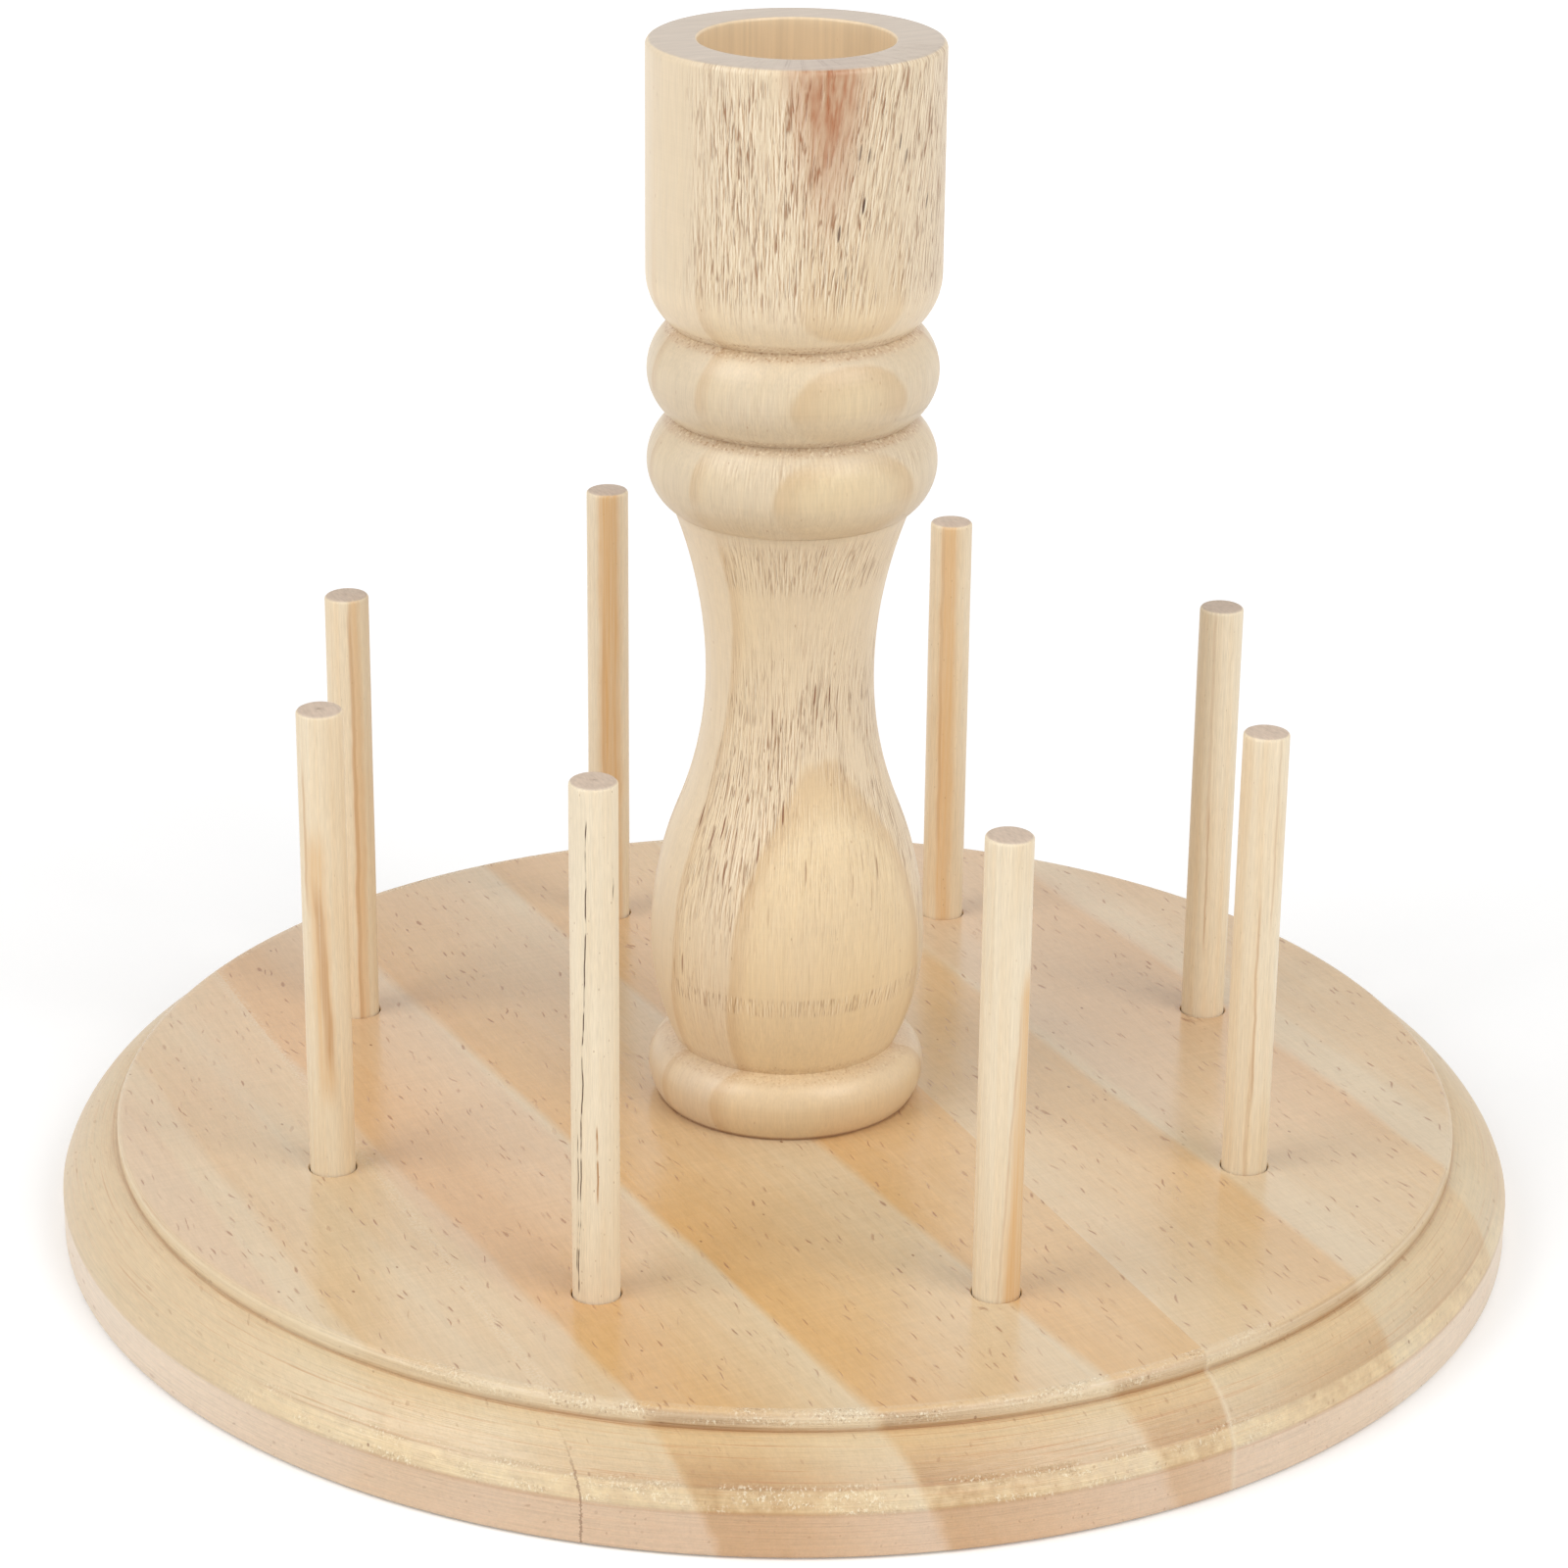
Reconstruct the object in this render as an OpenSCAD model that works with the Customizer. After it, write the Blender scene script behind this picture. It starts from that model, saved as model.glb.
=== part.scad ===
// Free-standing wooden rack for thread spools: a round board, a turned post with a cup, and eight pegs.
// Millimetres, +Z up. The origin is the centre of the board's underside. The board's grain runs along Y.

/* [Board] */
// Diameter of the round board
board_d = 260; // [230:1:340]
// Thickness of the board
board_t = 20; // [18:0.5:30]
// Place of the glue line between the left and the middle stave, along X
left_joint_x = -80; // [-81:1:-72]
// Place of the glue line between the middle and the right stave, along X
right_joint_x = 22; // [14:1:52]
// Width of the rounded rim outside the step
rim_w = 10; // [6:0.5:12]
// Height of the upright face at the foot of the rim
rim_face_h = 7.9; // [5:0.1:9]
// Angle that the rim's curve turns through, from the step down to the upright face
rim_sweep = 60; // [40:1:66]
// Height of the step above the rounded rim
rim_step = 3.2; // [2.6:0.1:5]
// Chamfer on the top edge of the step
step_chamfer = 0.9; // [0.5:0.1:2.5]
// Chamfer on the bottom edge of the rim
rim_chamfer = 0.8; // [0.4:0.1:2]

/* [Pegs] */
// Diameter of the circle that the pegs stand on
peg_circle_d = 172; // [110:1:190]
// Diameter of a peg
peg_d = 8; // [6:0.5:10]
// Length of a peg
peg_len = 96; // [60:1:140]
// Chamfer on both ends of a peg
peg_chamfer = 0.6; // [0.2:0.1:1.5]
// Depth of a peg's socket in the board
socket_depth = 16; // [13:0.5:17]
// Radial clearance of a peg in its socket
socket_clearance = 0.15; // [0.05:0.05:0.4]
// How far each peg stands off the floor of its socket, the first on +X and the rest anticlockwise from it
peg_1_raise = 0.5; // [0:0.1:11]
// Second peg
peg_2_raise = 1.4; // [0:0.1:11]
// Third peg
peg_3_raise = 7.6; // [0:0.1:11]
// Fourth peg
peg_4_raise = 2.5; // [0:0.1:11]
// Fifth peg
peg_5_raise = 5.1; // [0:0.1:11]
// Sixth peg
peg_6_raise = 10.7; // [0:0.1:11]
// Seventh peg
peg_7_raise = 1.5; // [0:0.1:11]
// Eighth peg
peg_8_raise = 1.2; // [0:0.1:11]

/* [Post] */
// Diameter of the foot bead
foot_d = 49.5; // [47:0.5:60]
// Diameter of the foot where it stands on the board
foot_seat_d = 45.6; // [40:0.2:49]
// Height of the foot bead
foot_h = 11.4; // [8:0.2:14]
// Diameter of the crease above the foot bead
foot_crease_d = 40; // [34:0.5:44]
// Largest diameter of the belly
belly_d = 48.8; // [46:0.2:60]
// Rise from the crease to the widest part of the belly
belly_rise = 18.8; // [14:0.2:30]
// Diameter of the waist of the neck
waist_d = 29.5; // [22:0.1:36]
// Rise from the widest part of the belly to the waist
waist_rise = 49.8; // [35:0.2:80]
// Share of that rise that bulges out, the rest curves in
belly_share = 0.5; // [0.3:0.05:0.7]
// Rise from the waist to the lower bead
flare_rise = 30.6; // [20:0.2:45]
// Diameter of the top of the neck, under the lower bead
neck_top_d = 37.8; // [37:0.2:41]
// Diameter of the two beads
bead_d = 50; // [45:0.5:60]
// Height of each of the two beads
bead_h = 16.2; // [12:0.2:20]
// Diameter of the edge below the lower bead, and of the creases between and above the beads
bead_crease_d = 41.6; // [38:0.2:43]
// Outer diameter of the cup
cup_d = 50.4; // [46:0.2:60]
// Height of the cup above the upper bead
cup_h = 48.4; // [46:0.2:80]
// Height of the curve at the bottom of the cup
cup_curve_h = 9; // [6:0.5:14]
// Radius that eases the outer edge of the cup's lip
lip_ease = 1.2; // [0.4:0.1:3]
// Diameter of the bore in the cup
bore_d = 33; // [20:0.5:36]
// Radius that eases the mouth of the bore
mouth_ease = 0.6; // [0.2:0.1:2]
// Depth of the bore in the cup
bore_depth = 42; // [20:0.5:60]

/* [Post screw] */
// Diameter of the screw's shank
screw_d = 5; // [4:0.5:6]
// Length of the screw from under its head to its tip
screw_len = 50; // [40:1:60]
// Diameter of the screw's head
screw_head_d = 9.5; // [9:0.5:11]
// Height of the screw's head
screw_head_h = 3.2; // [2.5:0.1:4]
// Diameter of the washer
washer_d = 15; // [12:0.5:17]
// Thickness of the washer
washer_t = 1.2; // [0.8:0.1:2]
// Radial clearance of the screw in the board and in the washer, and of the washer in its counterbore
screw_clearance = 0.3; // [0.2:0.05:0.6]
// How far the screw's head sits inside the underside
head_recess = 1.6; // [0.5:0.1:3]

/* [Hidden] */
$fn = 180;

// How far a cutting tool runs past the face that it cuts
past = 1;
board_r = board_d / 2;
step_r = board_r - rim_w;
peg_raise = [
    peg_1_raise,
    peg_2_raise,
    peg_3_raise,
    peg_4_raise,
    peg_5_raise,
    peg_6_raise,
    peg_7_raise,
    peg_8_raise,
];
peg_count = len(peg_raise);
socket_floor_z = board_t - socket_depth;

// Heights along the post, from its foot up
belly_z = foot_h + belly_rise;
waist_z = belly_z + waist_rise;
// The belly's bulge and the neck's hollow meet here, with one tangent
turn_z = belly_z + waist_rise * belly_share;
turn_r = (belly_d - (belly_d - waist_d) * belly_share) / 2;
lower_bead_z = waist_z + flare_rise;
upper_bead_z = lower_bead_z + bead_h;
cup_z = upper_bead_z + bead_h;
post_h = cup_z + cup_h;

// The screw's head and washer sit in a counterbore in the underside
washer_z = head_recess + screw_head_h;
washer_top_z = washer_z + washer_t;
screw_tip_z = washer_z + screw_len;
// The tip is a cone as long as the shank is thick, and the pilot hole is this much deeper than the tip
pilot_spare = 1;
pilot_depth = screw_tip_z - board_t + pilot_spare;
// The cross recess in the head: the width of its arms, and its length and depth as a share of the head's
recess_w = 1.1;
recess_share = 0.55;
recess_len = screw_head_d * recess_share;
recess_depth = screw_head_h * recess_share;

board_colour = "BurlyWood";
post_colour = "Wheat";
peg_colour = "NavajoWhite";
steel_colour = "Silver";

// Radius of the arc that runs along the axis at one end and is dr away from that line at dz along it
function arc_radius(dr, dz) = (dr * dr + dz * dz) / (2 * dr);

// Half section of a stretch from z0 to z1, as far as the radius r
module band(r, z0, z1) {
    translate([0, z0])
        square([r, z1 - z0]);
}

// Half section that bulges from the radius r_end at z_end to its widest, r_wide, at z_wide
module swell(r_wide, z_wide, r_end, z_end) {
    radius = arc_radius(r_wide - r_end, z_wide - z_end);
    z0 = min(z_wide, z_end);
    z1 = max(z_wide, z_end);
    band(r_end, z0, z1);
    intersection() {
        translate([r_wide - radius, z_wide])
            circle(radius);
        band(r_wide + past, z0, z1);
    }
}

// Half section that curves in from the radius r_end at z_end to its narrowest, r_waist, at z_waist
module hollow(r_waist, z_waist, r_end, z_end) {
    radius = arc_radius(r_end - r_waist, z_end - z_waist);
    difference() {
        band(r_end, min(z_waist, z_end), max(z_waist, z_end));
        translate([r_waist + radius, z_waist])
            circle(radius);
    }
}

// Half section of a bead from z to z + h, with a crease of radius r_crease on each side
module bead(r_wide, r_crease, z, h) {
    swell(r_wide, z + h / 2, r_crease, z);
    swell(r_wide, z + h / 2, r_crease, z + h);
}

// Half section from z0 to z1 as far as the radius r, with its upper edge eased
module eased_band(r, z0, z1, ease) {
    band(r, z0, z1 - ease);
    band(r - ease, z0, z1);
    translate([r - ease, z1 - ease])
        circle(ease);
}

// Half section of the board: a chamfered foot, an upright face, a curve that meets it at an edge, and a step
module board_section() {
    step_z = board_t - rim_step;
    rise = step_z - rim_face_h;
    chord = norm([rim_w, rise]);
    radius = chord / (2 * sin(rim_sweep / 2));
    // The curve's centre lies this far inward from the middle of its chord
    inward = radius * cos(rim_sweep / 2);
    middle = [step_r + rim_w / 2, rim_face_h + rise / 2];
    polygon([
        [0, 0],
        [board_r - rim_chamfer, 0],
        [board_r, rim_chamfer],
        [board_r, rim_face_h],
        [0, rim_face_h],
    ]);
    band(step_r, rim_face_h, step_z);
    intersection() {
        translate(middle - inward * [rise, rim_w] / chord)
            circle(radius);
        band(board_r + past, rim_face_h, step_z);
    }
    polygon([
        [0, step_z],
        [step_r, step_z],
        [step_r, board_t - step_chamfer],
        [step_r - step_chamfer, board_t],
        [0, board_t],
    ]);
}

// Puts its children where peg i stands on the circle
module at_peg(i) {
    rotate(i * 360 / peg_count)
        translate([peg_circle_d / 2, 0])
            children();
}

// The part of the round board from x0 to x1, with its sockets and the hole for the post's screw
module stave(x0, x1) {
    difference() {
        intersection() {
            rotate_extrude()
                board_section();
            translate([x0, -board_d, -past])
                cube([x1 - x0, 2 * board_d, board_t + 2 * past]);
        }
        for (i = [0 : peg_count - 1])
            at_peg(i)
                translate([0, 0, socket_floor_z])
                    cylinder(d = peg_d + 2 * socket_clearance, h = socket_depth + past);
        translate([0, 0, -past])
            cylinder(d = screw_d + 2 * screw_clearance, h = board_t + 2 * past);
        translate([0, 0, -past])
            cylinder(d = washer_d + 2 * screw_clearance, h = washer_top_z + past);
    }
}

module base_stave_left() {
    color(board_colour)
        stave(-board_d, left_joint_x);
}

module base_stave_middle() {
    color(board_colour)
        stave(left_joint_x, right_joint_x);
}

module base_stave_right() {
    color(board_colour)
        stave(right_joint_x, board_d);
}

// Half section of the turning, without its bore
module post_section() {
    crease_r = foot_crease_d / 2;
    groove_r = bead_crease_d / 2;
    cup_r = cup_d / 2;
    curve_z = cup_z + cup_curve_h;
    swell(foot_d / 2, foot_h / 2, foot_seat_d / 2, 0);
    swell(foot_d / 2, foot_h / 2, crease_r, foot_h);
    swell(belly_d / 2, belly_z, crease_r, foot_h);
    swell(belly_d / 2, belly_z, turn_r, turn_z);
    hollow(waist_d / 2, waist_z, turn_r, turn_z);
    hollow(waist_d / 2, waist_z, neck_top_d / 2, lower_bead_z);
    bead(bead_d / 2, groove_r, lower_bead_z, bead_h);
    bead(bead_d / 2, groove_r, upper_bead_z, bead_h);
    swell(cup_r, curve_z, groove_r, cup_z);
    eased_band(cup_r, curve_z, post_h, lip_ease);
}

// Half section that is bored out of the cup, with a mouth that is eased
module bore_section() {
    bore_r = bore_d / 2;
    band(bore_r, post_h - bore_depth, post_h + past);
    difference() {
        band(bore_r + mouth_ease, post_h - mouth_ease, post_h + past);
        translate([bore_r + mouth_ease, post_h - mouth_ease])
            circle(mouth_ease);
    }
}

module post() {
    color(post_colour)
        translate([0, 0, board_t])
            difference() {
                rotate_extrude()
                    difference() {
                        post_section();
                        bore_section();
                    }
                translate([0, 0, -past])
                    cylinder(d = screw_d, h = pilot_depth + past);
            }
}

module post_screw() {
    color(steel_colour)
        difference() {
            union() {
                translate([0, 0, head_recess])
                    cylinder(d = screw_head_d, h = screw_head_h);
                translate([0, 0, washer_z])
                    cylinder(d = screw_d, h = screw_len - screw_d);
                translate([0, 0, screw_tip_z - screw_d])
                    cylinder(d1 = screw_d, d2 = 0, h = screw_d);
            }
            for (turn = [0, 90])
                rotate(turn)
                    translate([-recess_len / 2, -recess_w / 2, head_recess - past])
                        cube([recess_len, recess_w, recess_depth + past]);
        }
}

module screw_washer() {
    color(steel_colour)
        translate([0, 0, washer_z])
            difference() {
                cylinder(d = washer_d, h = washer_t);
                translate([0, 0, -past])
                    cylinder(d = screw_d + 2 * screw_clearance, h = washer_t + 2 * past);
            }
}

// One peg, standing in its socket
module peg(i) {
    peg_r = peg_d / 2;
    color(peg_colour)
        at_peg(i)
            translate([0, 0, socket_floor_z + peg_raise[i]])
                rotate_extrude()
                    polygon([
                        [0, 0],
                        [peg_r - peg_chamfer, 0],
                        [peg_r, peg_chamfer],
                        [peg_r, peg_len - peg_chamfer],
                        [peg_r - peg_chamfer, peg_len],
                        [0, peg_len],
                    ]);
}

base_stave_left();
base_stave_middle();
base_stave_right();
post();
post_screw();
screw_washer();
for (i = [0 : peg_count - 1])
    peg(i);
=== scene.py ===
"""Thread spool rack: a round board of three glued staves, a turned post with a cup, and eight loose pegs."""

import math

import bmesh
import bpy
import numpy as np
from mathutils import Matrix, Vector, noise


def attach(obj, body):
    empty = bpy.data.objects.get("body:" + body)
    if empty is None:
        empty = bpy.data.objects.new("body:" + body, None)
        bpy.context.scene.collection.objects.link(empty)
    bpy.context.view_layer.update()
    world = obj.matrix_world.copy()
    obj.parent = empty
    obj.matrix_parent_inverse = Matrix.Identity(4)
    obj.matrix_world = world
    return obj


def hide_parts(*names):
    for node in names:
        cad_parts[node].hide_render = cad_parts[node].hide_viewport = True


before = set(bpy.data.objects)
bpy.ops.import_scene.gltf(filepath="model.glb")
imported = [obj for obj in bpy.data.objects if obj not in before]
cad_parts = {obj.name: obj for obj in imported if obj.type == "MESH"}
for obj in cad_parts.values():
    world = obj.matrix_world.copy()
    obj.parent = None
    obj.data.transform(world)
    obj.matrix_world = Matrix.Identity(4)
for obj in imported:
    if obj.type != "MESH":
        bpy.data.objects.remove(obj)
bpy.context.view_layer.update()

# Sizes in millimetres, in the frame of the CAD model
MM = 0.001
BOARD_R = 130.0
BOARD_T = 20.0
STEP_R = 120.0
STEP_Z = 16.8
STEP_EASE = 1.2
RIM_FACE_Z = 7.9
# How far the rim's curve turns, in degrees
RIM_SWEEP = 60.0
BOARD_FOOT_EASE = 0.8
JOINTS_X = (-80.0, 22.0)
PEG_COUNT = 8
PEG_CIRCLE_R = 86.0
PEG_R = 4.0
PEG_LEN = 96.0
PEG_EASE = 0.8
# A peg pushed right down just clears the floor of its socket
PEG_FOOT_GAP = 0.08
PEG_RAISE = (0.5, 1.4, 7.6, 2.5, 5.1, 10.7, 1.5, 1.2)
SOCKET_R = 4.15
SOCKET_FLOOR = 4.0
SOCKET_WORN = 0.18
# Radii and heights of the post, from its seat on the board up
POST_FOOT_R = 22.8
FOOT_BEAD_R = 24.75
FOOT_BEAD_Z = 25.7
FOOT_CREASE_R = 20.0
FOOT_CREASE_Z = 31.4
BELLY_R = 24.4
BELLY_Z = 50.2
BELLY_END_R = 19.575
BELLY_END_Z = 75.1
WAIST_R = 14.75
WAIST_Z = 100.0
NECK_TOP_R = 20.6
BEAD_R = 25.0
BEAD_CREASE_R = 20.8
BEAD_HALF = 8.1
BEADS_Z = (138.7, 154.9)
CUP_R = 25.2
CUP_WALL_Z = 172.0
POST_TOP = 211.4
LIP_EASE = 1.2
BORE_R = 16.5
BORE_FLOOR = 169.4
BORE_EASE = 0.6
PILOT_R = 2.5
PILOT_TOP = 55.8
# Sizes of the screw and its washer
WASHER_R = 7.5
WASHER_Z = 4.8
WASHER_T = 1.2
WASHER_EASE = 0.2
SEAT_EASE = 0.3
SCREW_R = 2.5
SCREW_CORE_R = 2.0
SCREW_PITCH = 2.2
SCREW_CONE = 5.0
SCREW_TIP = 54.8
SCREW_HEAD_R = 4.75
SCREW_HEAD_Z = 1.6
SCREW_CLEARANCE = 0.3
RECESS_W = 1.1
RECESS_LEN = 5.225
RECESS_DEPTH = 1.76

# The photograph's view: the camera's azimuth, elevation, distance, target, roll, lens and sensor
VIEW_AZIMUTH = -24.04
VIEW_ELEVATION = 21.549
VIEW_DISTANCE = 784.8
VIEW_ASIDE = -0.8
VIEW_HEIGHT = 78.55
VIEW_ROLL = 0.6
VIEW_LENS = 102.12
VIEW_SENSOR = 36.0

# The directions to the right of that view and towards it, along x and y
RIGHTWARD = (math.cos(math.radians(VIEW_AZIMUTH)), math.sin(math.radians(VIEW_AZIMUTH)))
FRONTWARD = (RIGHTWARD[1], -RIGHTWARD[0])


def srgb(r, g, b):
    """A colour given as screen values from 0 to 255, as the linear values that shaders take."""
    def linear(c):
        c /= 255
        return c / 12.92 if c <= 0.04045 else ((c + 0.055) / 1.055) ** 2.4
    return (linear(r), linear(g), linear(b), 1.0)


class Nodes:
    """A material's node tree, built by calls that return sockets. Positions are in millimetres. The colour
    so far, and sockets that several parts of a material use, are kept on it by name."""

    def __init__(self, name):
        self.material = bpy.data.materials.new(name)
        self.material.use_nodes = True
        self.tree = self.material.node_tree
        self.tree.nodes.clear()

    def put(self, socket, value):
        if isinstance(value, bpy.types.NodeSocket):
            self.tree.links.new(value, socket)
        else:
            socket.default_value = value

    def add(self, kind, **inputs):
        node = self.tree.nodes.new("ShaderNode" + kind)
        for key, value in inputs.items():
            self.put(node.inputs[key.replace("_", " ")], value)
        return node

    def math(self, operation, *values):
        node = self.add("Math")
        node.operation = operation
        for socket, value in zip(node.inputs, values):
            self.put(socket, value)
        return node.outputs[0]

    def plus(self, *values):
        """The sum of the values, where several values in brackets stand for their product."""
        values = [self.times(*value) if isinstance(value, tuple) else value for value in values]
        total = values[0]
        for value in values[1:]:
            total = self.math("ADD", total, value)
        return total

    def minus(self, a, b):
        return self.math("SUBTRACT", a, b)

    def times(self, *values):
        total = values[0]
        for value in values[1:]:
            total = self.math("MULTIPLY", total, value)
        return total

    def most(self, a, b):
        return self.math("MAXIMUM", a, b)

    def size(self, value):
        return self.math("ABSOLUTE", value)

    def hypot(self, x, y):
        return self.math("SQRT", self.plus((x, x), (y, y)))

    def turn(self, x, y, radius):
        """How far round the axis a place lies from the front, in millimetres at that radius."""
        return self.times(self.math("ARCTAN2", x, self.times(y, -1.0)), radius)

    def along(self, x, y, direction):
        """How far the place (x, y) lies along a direction."""
        return self.plus((x, direction[0]), (y, direction[1]))

    def position(self):
        place = self.add("TexCoord").outputs["Object"]
        return self.spread(place, (MM, MM, MM), (0, 0, 0))

    def normal(self):
        return self.split(self.add("TexCoord").outputs["Normal"])

    def spread(self, vector, sizes, offset):
        """vector divided by sizes, then moved by offset."""
        node = self.add("VectorMath")
        node.operation = "MULTIPLY_ADD"
        self.put(node.inputs[0], vector)
        node.inputs[1].default_value = tuple(1 / s for s in sizes)
        node.inputs[2].default_value = offset
        return node.outputs[0]

    def split(self, vector):
        return tuple(self.add("SeparateXYZ", Vector=vector).outputs)

    def join(self, x, y, z):
        return self.add("CombineXYZ", X=x, Y=y, Z=z).outputs[0]

    def noise(self, vector, sizes, seed, detail=2.0, roughness=0.5, shift=(0, 0, 0)):
        """Noise from about -0.5 to 0.5, whose blobs measure sizes, in millimetres along x, y and z."""
        offset = tuple(k * seed + d / s for k, d, s in zip((7.31, 3.17, 5.73), shift, sizes))
        look = {"Scale": 1.0, "Detail": detail, "Roughness": roughness}
        node = self.add("TexNoise", Vector=self.spread(vector, sizes, offset), **look)
        return self.plus(node.outputs[0], -0.5)

    def specks(self, vector, cell, radius, share, seed, flat=False):
        """Scattered specks, faint to strong, and 0 between them: one in a cell of that size, in a share of
        the cells, with a radius given in cells. Where flat, only x and y of vector count."""
        offset = (2.9 * seed, 4.3 * seed, 1.7 * seed)
        node = self.add("TexVoronoi", Vector=self.spread(vector, cell, offset), Scale=1.0)
        node.voronoi_dimensions = "2D" if flat else "3D"
        inside = self.ease(node.outputs["Distance"], radius, radius * 0.5)
        chance, strength, _ = self.split(node.outputs["Color"])
        chosen = self.ease(chance, share, share * 0.85)
        return self.times(inside, chosen, self.ease(strength, 0, 1, 0.3, 1.0))

    def ease(self, value, low, high, at_low=0.0, at_high=1.0):
        """at_low at low and at_high at high, smoothly, also where low is the larger."""
        node = self.add("MapRange", Value=value, From_Min=low, From_Max=high, To_Min=at_low, To_Max=at_high)
        node.interpolation_type = "SMOOTHSTEP"
        return node.outputs[0]

    def window(self, value, low, high, soft):
        """1 between low and high, easing to 0 over soft on each side."""
        return self.times(self.ease(value, low - soft, low), self.ease(value, high + soft, high))

    def ramp(self, value, stops):
        """Tone along value, from stops of (place, tone)."""
        low, high = stops[0][0], stops[-1][0]
        spread = self.add("MapRange", Value=value, From_Min=low, From_Max=high)
        node = self.add("ValToRGB")
        self.put(node.inputs[0], spread.outputs[0])
        elements = node.color_ramp.elements
        while len(elements) > 1:
            elements.remove(elements[-1])
        for i, (place, tone) in enumerate(stops):
            where = (place - low) / (high - low)
            element = elements[0] if i == 0 else elements.new(where)
            element.position = where
            element.color = (tone, tone, tone, 1)
        return node.outputs[0]

    def graph(self, value, stops):
        """A quantity along value, from stops of (place, quantity)."""
        least = min(quantity for place, quantity in stops)
        span = max(quantity for place, quantity in stops) - least
        tones = [(place, (quantity - least) / span) for place, quantity in stops]
        return self.plus((self.ramp(value, tones), span), least)

    def mix(self, factor, a, b, blend="MIX"):
        node = self.add("Mix")
        node.data_type = "RGBA"
        node.blend_type = blend
        self.put(node.inputs[0], factor)
        self.put(node.inputs[6], a)
        self.put(node.inputs[7], b)
        return node.outputs[2]

    def shade(self, colour, amount):
        """colour made lighter or darker by amount, which is 0 where it stays."""
        level = self.plus(1.0, amount)
        return self.mix(1.0, colour, self.join(level, level, level), "MULTIPLY")

    def paint(self, colour, *factors):
        """Lays colour over the colour so far, as strongly as the product of the factors."""
        self.colour = self.mix(self.times(*factors), self.colour, colour)

    def finish(self, roughness, height, **constants):
        """The surface, from the colour so far, a roughness and a height in millimetres."""
        bump = self.add("Bump", Height=height, Distance=MM, Strength=1.0)
        looks = {"Base_Color": self.colour, "Roughness": roughness, "Normal": bump.outputs[0], **constants}
        surface = self.add("BsdfPrincipled", **looks)
        self.add("OutputMaterial", Surface=surface.outputs[0])
        return self.material


# Wood of the board

BOARD_PALE = srgb(216, 195, 162)
BOARD_DARK = srgb(211, 166, 106)
BOARD_PINK_AND_SHEEN = srgb(212, 174, 140)
BOARD_END = srgb(166, 128, 86)
BOARD_SIDE = srgb(218, 195, 152)
STEP_FACE_LIGHT = srgb(240, 220, 184)
BOARD_FOOT = srgb(222, 186, 162)
BOARD_LOW_SIDE_LIGHT = srgb(238, 222, 200)
BOARD_SHOULDER_AND_SHEEN = srgb(238, 216, 170)
ROUTED_AND_SHADE = srgb(170, 120, 76)
FLECK = srgb(140, 86, 56)
FUZZ_AND_SHEEN = srgb(252, 240, 212)
PIT_AND_SHADE = srgb(122, 72, 38)
GLUE_DARK = srgb(120, 76, 40)
GLUE_PALE = srgb(232, 216, 188)

# Where fibres are torn at the front, with their pale fuzz partly a painted highlight, in millimetres round
# the rim from -Y: along the step and on the shoulder
TORN_STEP = (-100, 15)
TORN_SHOULDER = (-132, 100)
TORN_FADE = 35.0
# Heights on the rim: its pale shoulder (partly a painted highlight), where fibres stand up on it, and the
# dark seams below and above it
SHOULDER = (RIM_FACE_Z + 0.5, RIM_FACE_Z + 3.0)
FUZZY_SHOULDER = (RIM_FACE_Z + 0.4, RIM_FACE_Z + 3.6)
LOW_SEAM = (RIM_FACE_Z - 0.3, RIM_FACE_Z)
HIGH_SEAM = (RIM_FACE_Z + 3.4, RIM_FACE_Z + 3.6)

# Growth bands of each stave: their slope to the stave, their lean over its thickness, the middle and half
# width of its pinkish part, and stops of (millimetres across, tone), where 0 is pale and 1 is dark
STAVES = {
    "left": (0.03, -0.35, (-118, 6), (
        (-135, 0.16), (-118, 0.05), (-105, 0.10), (-102.5, 0.42), (-97, 0.34), (-90, 0.14), (-84, 0.30),
        (-76, 0.30),
    )),
    "middle": (0.075, 0.33, (-63, 14), (
        (-92, 0.30), (-76.8, 0.22), (-75.2, 1.00), (-66, 0.92), (-54, 0.34), (-45.8, 0.00), (-43.6, 0.95),
        (-34, 0.74), (-16, 0.24), (-7.0, 0.10), (-5.0, 0.80), (4, 0.66), (20, 0.56), (30, 0.55),
    )),
    "right": (0.055, 0.05, (72, 16), (
        (12, 0.14), (24, 0.16), (32, 0.38), (42, 0.55), (51.2, 0.60), (53.0, 0.00), (58, 0.00), (65, 0.28),
        (82, 0.44), (88.4, 0.60), (90.2, 0.00), (96, 0.00), (102, 0.34), (118, 0.44), (135, 0.24),
    )),
}


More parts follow.
